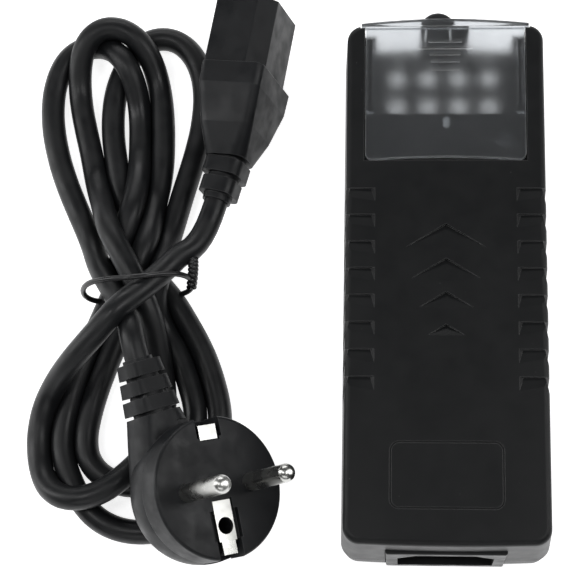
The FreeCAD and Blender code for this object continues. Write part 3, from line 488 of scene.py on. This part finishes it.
def addWire(name, points, radius):
    curve = bpy.data.curves.new(name, "CURVE")
    curve.dimensions = "3D"
    curve.bevel_depth = radius * mm
    curve.bevel_resolution = 4
    spline = curve.splines.new("POLY")
    spline.points.add(len(points) - 1)
    for point, place in zip(spline.points, points):
        point.co = (*(Vector(place) * mm), 1)
    holder = bpy.data.objects.new(name + "_holder", curve)
    mesh = bpy.data.meshes.new_from_object(holder)
    for face in mesh.polygons:
        face.use_smooth = True
    wire = bpy.data.objects.new(name, mesh)
    bpy.context.scene.collection.objects.link(wire)
    bpy.data.objects.remove(holder)
    return wire


def tiePoints():
    cx, cy, cz = tieSet["centre"]
    loop = []
    sweep = 2 * tieSet["halfSweep"]
    for i in range(tieSet["steps"] + 1):
        turn = math.radians(-tieSet["halfSweep"] + sweep * i / tieSet["steps"]) + math.pi
        lean = 1.5 * math.cos(turn) + 0.5 * math.sin(3 * turn)
        loop.append((cx + tieSet["halfWidth"] * math.cos(turn), cy + lean,
                     cz + tieSet["halfHeight"] * math.sin(turn)))
    return loop


def tailPoints(phase):
    cx, cy, cz = tieSet["centre"]
    start = Vector((cx + tieSet["halfWidth"] - 0.2, cy, cz + 0.5))
    points = []
    for i in range(tieSet["tailSteps"] + 1):
        share = i / tieSet["tailSteps"]
        along = start + Vector((tieSet["tailDrift"] * math.sin(2.2 * share),
                                tieSet["tailLength"] * share * 0.75,
                                tieSet["tailRise"] * math.sin(1.9 * share)))
        turn = 2 * math.pi * tieSet["tailTurns"] * share + phase
        points.append(along + tieSet["tailRadius"] * Vector((math.cos(turn), 0, math.sin(turn))))
    return points


tieLoop = addWire("twist_tie_loop", tiePoints(), tieSet["wire"])
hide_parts("twist_tie")
tiePieces = [tieLoop, addWire("twist_tie_tail_a", tailPoints(0.0), tieSet["wire"] * 0.9),
             addWire("twist_tie_tail_b", tailPoints(math.pi), tieSet["wire"] * 0.9)]
for wire in tiePieces:
    paint(wire, "tie")
    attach(wire, "lead")
print("twist tie made")


# Floor and light: a pale table, four low soft lights round it and two small ones overhead.
floorSet = {"size": 3.0, "height": -0.0002, "colour": (0.86, 0.87, 0.88),
            "cloud": (0.90, 0.90, 0.91), "cloudSize": 30, "glow": 0.82}


def addFloor():
    half, height = floorSet["size"] / 2, floorSet["height"]
    mesh = bpy.data.meshes.new("floor")
    corners = [(-half, -half), (half, -half), (half, half), (-half, half)]
    mesh.from_pydata([(x, y, height) for x, y in corners], [], [(0, 1, 2, 3)])
    floor = bpy.data.objects.new("floor", mesh)
    bpy.context.scene.collection.objects.link(floor)
    material = bpy.data.materials.new("floor_paper")
    material.use_nodes = True
    shader = material.node_tree.nodes["Principled BSDF"]
    tree = material.node_tree
    place = tree.nodes.new("ShaderNodeTexCoord").outputs["Object"]
    cloud = noiseAt(tree, place, floorSet["cloudSize"])
    tint = mixColours(tree, cloud, floorSet["colour"], floorSet["cloud"])
    link(tree, tint, shader.inputs["Base Color"])
    shader.inputs["Roughness"].default_value = 0.9
    shader.inputs["Emission Color"].default_value = (1, 1, 1, 1)
    shader.inputs["Emission Strength"].default_value = floorSet["glow"]
    mesh.materials.append(material)


def addSoftLight(name, place, aim, width, height, power):
    data = bpy.data.lights.new(name, "AREA")
    data.shape = "RECTANGLE"
    data.size, data.size_y, data.energy = width, height, power
    light = bpy.data.objects.new(name, data)
    bpy.context.scene.collection.objects.link(light)
    light.location = place
    light.rotation_euler = (Vector(aim) - Vector(place)).to_track_quat("-Z", "Y").to_euler()


def addLights():
    addSoftLight("softbox_near", (-0.05, -0.80, 0.55), (0, -0.02, 0), 0.9, 0.30, 1.6)
    addSoftLight("softbox_left", (-0.85, 0.05, 0.45), (-0.05, 0, 0), 0.30, 0.9, 3.6)
    addSoftLight("softbox_right", (0.80, 0.10, 0.60), (0, 0, 0), 0.30, 0.9, 3.0)
    addSoftLight("overhead_left", (-0.34, -0.10, 1.00), (-0.03, -0.05, 0), 0.20, 0.25, 1.5)
    addSoftLight("overhead_right", (0.42, -0.10, 1.00), (0.03, -0.05, 0), 0.20, 0.25, 1.7)
    addSoftLight("softbox_far", (-0.1, 0.80, 0.45), (0, 0.05, 0), 0.8, 0.25, 2.5)
    world = bpy.data.worlds.new("room")
    world.use_nodes = True
    world.node_tree.nodes["Background"].inputs["Color"].default_value = (0.95, 0.97, 1.0, 1)
    world.node_tree.nodes["Background"].inputs["Strength"].default_value = 0.07
    bpy.context.scene.world = world


addFloor()
addLights()
bpy.context.scene.view_settings.view_transform = "Standard"
print("floor and lights set")

bpy.context.view_layer.update()
